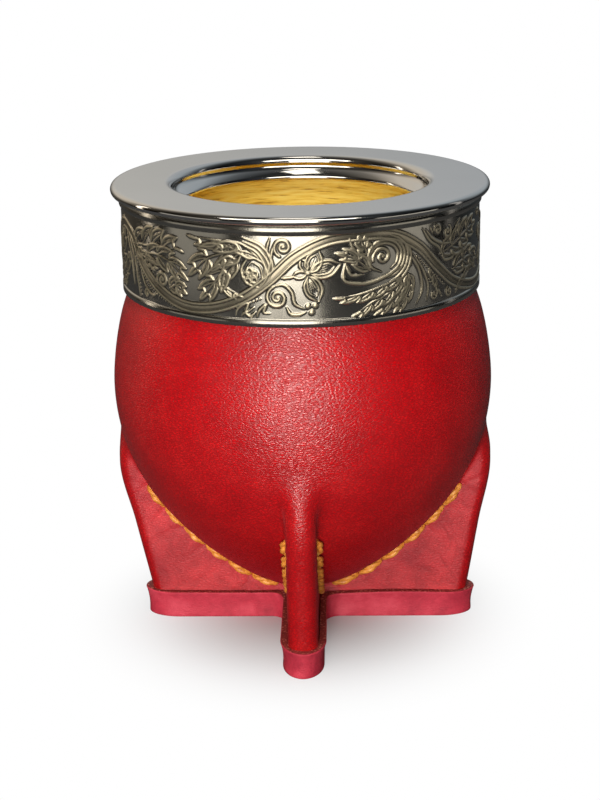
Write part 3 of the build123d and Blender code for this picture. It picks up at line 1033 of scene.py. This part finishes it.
    chase.leaf([(57.0, 4.4), (61.5, 8.0), (63.0, 11.5), (61.5, 14.6)], 2.4, 3, hatch=5, line=0.44)
    chase.spiral((57.4, 12.0), 2.0, 1.7, 20, 1)
    chase.spiral((55.6, 17.0), 1.1, 1.3, 220, -1, 0.4)
    chase.leaf([(-64.0, 4.0), (-58.5, 7.4), (-55.4, 11.0), (-54.0, 13.6)], 2.6, 3, hatch=5, line=0.44)
    chase.leaf([(-62.0, 1.0), (-57.0, 2.6), (-53.0, 5.6), (-50.5, 8.6)], 1.7, 3, hatch=4)
    chase.spiral((-55.0, 1.8), 1.3, 1.4, 100, 1, 0.42)
    chase.flower((-59.0, 11.2), 5, 1.7, 40)
    return chase.field


def softened(field, passes):
    """The field spread out sideways and up and down, as patina and painted shade spread round a ridge.
    """
    for _ in range(passes):
        tall = np.pad(field, ((1, 1), (0, 0)), mode="edge")
        field = (tall[:-2] + 2 * field + tall[2:]) / 4
        field = (np.roll(field, 1, axis=1) + 2 * field + np.roll(field, -1, axis=1)) / 4
    return field


def collar_band():
    motif = chased_motif()
    # A dark ring round each ridge but off its top: patina in the hollows and painted shade, laid as
    # ambient occlusion would fall.
    patina_and_shade = np.clip(1.5 * softened(motif, 8) - 1.0 * motif, 0.0, 0.85)
    relief_low = COLLAR_BOTTOM + STRIP_LOW
    relief_high = COLLAR_TOP - STRIP_HIGH
    low_strip = COLLAR_RADIUS + 0.15
    inside = COLLAR_INSIDE + 0.1
    below = [(COLLAR_INSIDE, COLLAR_BOTTOM + 0.1), (inside, COLLAR_BOTTOM)]
    below += [(low_strip - 0.1, COLLAR_BOTTOM), (low_strip, COLLAR_BOTTOM + 0.1)]
    below += [(low_strip, relief_low - 0.2), (low_strip - 0.1, relief_low - 0.1)]
    above = [(STRIP_RADIUS - 0.1, relief_high + 0.1), (STRIP_RADIUS, relief_high + 0.2)]
    above += [(STRIP_RADIUS, COLLAR_TOP - 0.1), (STRIP_RADIUS - 0.1, COLLAR_TOP)]
    above += [(inside, COLLAR_TOP), (COLLAR_INSIDE, COLLAR_TOP - 0.1)]
    quarter = MOTIF_COLUMNS // 2
    seam = int(round(SEAM_AT / MOTIF_LENGTH * MOTIF_COLUMNS))
    pieces = []
    for sector in range(4):
        first = seam + sector * quarter
        columns = np.arange(first, first + quarter + 1)
        angles = FRONT_ANGLE + columns * math.pi / MOTIF_COLUMNS
        heights = motif[:, columns % MOTIF_COLUMNS]
        sector_patina_and_shade = patina_and_shade[:, columns % MOTIF_COLUMNS]
        level = np.ones(len(columns))
        rows = [(reach * level, z, 0.0 * level, PLAIN_GRIME * level) for reach, z in below]
        for row in range(MOTIF_ROWS):
            reach = COLLAR_RADIUS - GROUND_SINK + RELIEF_HEIGHT * heights[row]
            z = relief_low + (relief_high - relief_low) * row / (MOTIF_ROWS - 1)
            rows.append((reach, z, heights[row], sector_patina_and_shade[row]))
        rows += [(reach * level, z, 0.0 * level, PLAIN_GRIME * level) for reach, z in above]
        places = np.stack([
            np.stack([reach * np.cos(angles), reach * np.sin(angles), z * level], axis=1)
            for reach, z, mark, spot in rows
        ])
        grid = mapped_grid(len(columns), len(rows), places, False, True)
        relief_layer = grid.verts.layers.float.new("relief")
        # This layer holds the patina in the hollows and the painted shade beside the ridges.
        patina_and_shade_layer = grid.verts.layers.float.new("patina_and_shade")
        marks = np.concatenate([row[2] for row in rows])
        spots = np.concatenate([row[3] for row in rows])
        for vertex, mark, spot in zip(grid.verts, marks, spots):
            vertex[relief_layer] = mark
            vertex[patina_and_shade_layer] = spot
        ends = [e for e in grid.edges if len(e.link_faces) == 1]
        for edge in ends:
            edge.smooth = False
        for angle in (angles[0], angles[-1]):
            bmesh.ops.contextual_create(grid, geom=[e for e in ends if on_cut(e, angle)])
        name = f"collar_chased_{sector + 1}"
        pieces.append(new_piece(name, grid, NICKEL, ["collar_band"]))
    return pieces


def on_cut(edge, angle):
    """Whether an edge lies on the cut at this angle round the band."""
    cut = Vector((math.cos(angle), math.sin(angle), 0.0))
    side = Vector((-cut.y, cut.x, 0.0))
    return all(abs(v.co.dot(side)) < 0.05 and v.co.dot(cut) > 0 for v in edge.verts)


# ---------------------------------------------------------------- threads

STRAND_SIDES = 8
STRAND_STEPS = 26
STRAND_TURNS = 1.0
STRAND_SWING = 0.40


def strand(start, end, side, phase, grid):
    """One of the two twisted strands of a stitch, as a closed tube in the fin's frame."""
    share = np.linspace(0.0, 1.0, STRAND_STEPS)
    run = np.array(end) - np.array(start)
    length = np.hypot(*run)
    run /= length
    cross = np.array([-run[1], run[0]])
    arch = np.clip(np.sin(math.pi * share), 0.0, 1.0) ** 0.55
    twist = phase + 2 * math.pi * STRAND_TURNS * share
    swing = STRAND_SWING * np.minimum(arch * 1.2, 1.0)
    middle_reach = start[0] + run[0] * length * share + cross[0] * swing * np.cos(twist)
    middle_height = start[1] + run[1] * length * share + cross[1] * swing * np.cos(twist)
    lift = FIN_HALF - 0.7 + 1.35 * arch + 0.6 * swing * np.sin(twist)
    centre = np.stack([middle_reach, side * lift, middle_height], axis=1)
    forward = np.gradient(centre, axis=0)
    forward /= np.linalg.norm(forward, axis=1)[:, None]
    up = np.array([0.0, 1.0, 0.0])
    right = np.cross(forward, up)
    right /= np.linalg.norm(right, axis=1)[:, None]
    above = np.cross(right, forward)
    around = np.linspace(0, 2 * math.pi, STRAND_SIDES, endpoint=False)
    thick = (0.34 + 0.38 * arch)[:, None, None]
    places = (
        centre[:, None, :]
        + thick * np.cos(around)[None, :, None] * right[:, None, :]
        + thick * np.sin(around)[None, :, None] * above[:, None, :]
    )
    tube = mapped_grid(STRAND_SIDES, STRAND_STEPS, places, poles=(0, -1))
    mesh = bpy.data.meshes.new("strand")
    tube.to_mesh(mesh)
    tube.free()
    grid.from_mesh(mesh)
    bpy.data.meshes.remove(mesh)


def fin_thread(fin):
    grid = bmesh.new()
    spots = hole_spots()
    for side in (-1.0, 1.0):
        for start, end in zip(spots, spots[1:]):
            gap = 0.03 * (end - start)
            for phase in (0.0, math.pi):
                strand(start + gap, end - gap, side, phase, grid)
    bmesh.ops.rotate(grid, matrix=Matrix.Rotation(fin * math.pi / 2, 3, "Z"), verts=grid.verts)
    name = FIN_NAMES[fin]
    return new_piece(f"thread_{name}", grid, THREAD, [f"fin_thread_{name}"])


# ---------------------------------------------------------------- stage

CAMERA_PLACE = (0.009415, -0.40348, 0.18825)
CAMERA_PITCH = 0.3156
CAMERA_TURN = 0.0252
CAMERA_ROLL = -0.0152
CAMERA_LENS = 51.386
WARM = (1.0, 0.97, 0.93)
CREAM = (1.0, 0.94, 0.82)

# The floor keeps its shadow near the cup, and is plain white from this far out
FLOOR_RADIUS = 0.42
WHITE_FROM = 0.062


def make_camera():
    data = bpy.data.cameras.new("camera")
    data.sensor_fit = "VERTICAL"
    data.sensor_height = 24.0
    data.lens = CAMERA_LENS
    data.clip_start = 0.01
    camera = bpy.data.objects.new("camera", data)
    turn = Matrix.Rotation(CAMERA_TURN, 4, "Z")
    pitch = Matrix.Rotation(math.pi / 2 - CAMERA_PITCH, 4, "X")
    roll = Matrix.Rotation(CAMERA_ROLL, 4, "Z")
    camera.matrix_world = Matrix.Translation(CAMERA_PLACE) @ turn @ pitch @ roll
    bpy.context.scene.collection.objects.link(camera)
    bpy.context.scene.camera = camera


def area_light(name, place, size, power, colour=(1, 1, 1), mirrored=True, only_on=()):
    """A soft box aimed at the cup. only_on names the pieces it lights, or none for all."""
    data = bpy.data.lights.new(name, "AREA")
    data.shape = "RECTANGLE"
    data.size, data.size_y = size
    data.energy = power
    data.color = colour
    light = bpy.data.objects.new(name, data)
    aim = (Vector((0.0, 0.0, 0.06)) - Vector(place)).to_track_quat("-Z", "Y")
    light.matrix_world = Matrix.Translation(place) @ aim.to_matrix().to_4x4()
    light.visible_camera = False
    light.visible_glossy = mirrored
    if only_on:
        lit = bpy.data.collections.new(name)
        for piece in only_on:
            lit.objects.link(piece)
        light.light_linking.receiver_collection = lit
    bpy.context.scene.collection.objects.link(light)


def make_floor():
    grid = bmesh.new()
    bmesh.ops.create_circle(grid, cap_ends=True, segments=96, radius=FLOOR_RADIUS)
    mesh = bpy.data.meshes.new("floor")
    grid.to_mesh(mesh)
    grid.free()
    material = bpy.data.materials.new("white floor")
    material.use_nodes = True
    material.node_tree.nodes.clear()
    tree = Tree(material.node_tree)
    seen = tree.add("ShaderNodeLightPath").outputs["Is Camera Ray"]
    plain = tree.add("ShaderNodeBsdfDiffuse")
    tree.feed(plain, "Color", tree.mix(seen, grey(0.06), grey(0.66)))
    glow = tree.add("ShaderNodeEmission", Color=grey(1.0), Strength=1.0)
    away = tree.add("ShaderNodeVectorMath", {"operation": "LENGTH"})
    tree.feed(away, "0", object_place(tree))
    fade = tree.add("ShaderNodeMapRange", {"interpolation_type": "SMOOTHSTEP"})
    tree.feed(fade, "Value", away.outputs["Value"])
    tree.feed(fade, "From Max", WHITE_FROM)
    share = tree.math("MULTIPLY", seen, fade.outputs[0])
    output = tree.add("ShaderNodeOutputMaterial")
    tree.feed(output, "Surface", tree.blended(share, plain, glow))
    mesh.materials.append(material)
    floor = bpy.data.objects.new("floor", mesh)
    bpy.context.scene.collection.objects.link(floor)


def make_world():
    """White where the camera looks; round the object a dim room with a pale wall behind."""
    world = bpy.data.worlds.new("studio")
    world.use_nodes = True
    world.node_tree.nodes.clear()
    tree = Tree(world.node_tree)
    way = tree.add("ShaderNodeTexCoord").outputs["Generated"]
    parts = tree.add("ShaderNodeSeparateXYZ")
    tree.feed(parts, "0", way)
    wall = tree.ramp(tree.scaled(parts.outputs["X"], 0.5, 0.5), [
        (0.0, (0.14, 0.11, 0.07, 1.0)),
        (0.18, (0.60, 0.53, 0.44, 1.0)),
        (0.40, (0.54, 0.52, 0.48, 1.0)),
        (0.55, (0.40, 0.42, 0.44, 1.0)),
        (0.78, (0.33, 0.37, 0.40, 1.0)),
        (1.0, (0.06, 0.065, 0.07, 1.0)),
    ])
    depth = tree.ramp(tree.scaled(parts.outputs["Y"], 0.5, 0.5), [
        (0.0, grey(0.12)),
        (0.45, grey(0.05)),
        (0.62, grey(0.30)),
        (0.80, grey(1.0)),
    ])
    low = tree.ramp(tree.scaled(parts.outputs["Z"], 0.5, 0.5), [
        (0.46, grey(0.10)),
        (0.60, grey(1.0)),
    ])
    room = tree.mix(1.0, tree.mix(1.0, wall, depth, "MULTIPLY"), low, "MULTIPLY")
    seen = tree.add("ShaderNodeLightPath")
    dim = tree.scaled(seen.outputs["Is Glossy Ray"], 0.75, 0.25)
    soft = tree.add("ShaderNodeBackground", Color=room, Strength=dim)
    white = tree.add("ShaderNodeBackground", Color=grey(1.0))
    output = tree.add("ShaderNodeOutputWorld")
    tree.feed(output, "Surface", tree.blended(seen.outputs["Is Camera Ray"], soft, white))
    bpy.context.scene.world = world


def make_lights(metal, rest, gourd):
    """Lights for the metal alone and for the other pieces, and a few for everything."""
    area_light("front window", (-0.05, -1.15, 0.20), (0.26, 0.7), 10.5, WARM, True, rest)
    area_light("left key", (-0.50, -0.95, 0.30), (0.5, 0.6), 2.4, WARM, False, rest)
    area_light("low front", (-0.10, -0.95, 0.12), (0.35, 0.25), 3.2, WARM, False, rest)
    area_light("high front", (-0.10, -0.60, 0.95), (0.4, 0.4), 1.6, WARM, False, rest)
    area_light("light in the bowl", (-0.05, -0.60, 0.95), (0.9, 0.5), 6.4, WARM, False, [gourd])
    area_light("window in the metal", (-0.16, -1.15, 0.08), (0.80, 0.9), 6.8, CREAM, True, metal)
    area_light("soft back", (0.0, 1.10, 0.75), (0.5, 0.4), 1.6, WARM, False, rest[:2])
    area_light("left in the metal", (-1.05, -0.45, -0.2), (0.9, 0.6), 0.60, CREAM, True, metal)
    area_light("right in the metal", (1.05, -0.45, -0.2), (0.9, 0.6), 0.75, CREAM, True, metal)
    area_light("ridge light", (-0.10, -0.90, 0.85), (1.7, 0.35), 6.0, CREAM, True, metal)
    area_light("ceiling patch", (-0.02, -0.05, 1.0), (0.24, 0.24), 0.35, CREAM, True, metal)
    area_light("top softbox", (0.0, -0.05, 1.0), (0.55, 0.55), 8.0, (1, 1, 1), False)
    area_light("left strip", (-1.0, 0.30, 0.22), (0.10, 0.7), 0.45, (1.0, 0.88, 0.72))
    area_light("right strip", (1.0, 0.30, 0.22), (0.10, 0.7), 0.08, (1.0, 0.94, 0.88))


COVER = cover_leather()
SOLE = sole_leather()
STEEL = polished_steel()
NICKEL = nickel_silver()
GOURD = dry_gourd()
THREAD = waxed_thread()

bpy.context.scene.view_settings.view_transform = "Standard"
make_camera()
make_world()
make_floor()
cover = leather_cover()
sole = leather_sole()
rim = rim_ring()
collar = collar_band()
threads = [fin_thread(fin) for fin in range(4)]
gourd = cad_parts["gourd_shell"]
for slot in gourd.material_slots:
    slot.material = GOURD
make_lights([rim] + collar, [cover, sole, gourd, bpy.data.objects["floor"]] + threads, gourd)
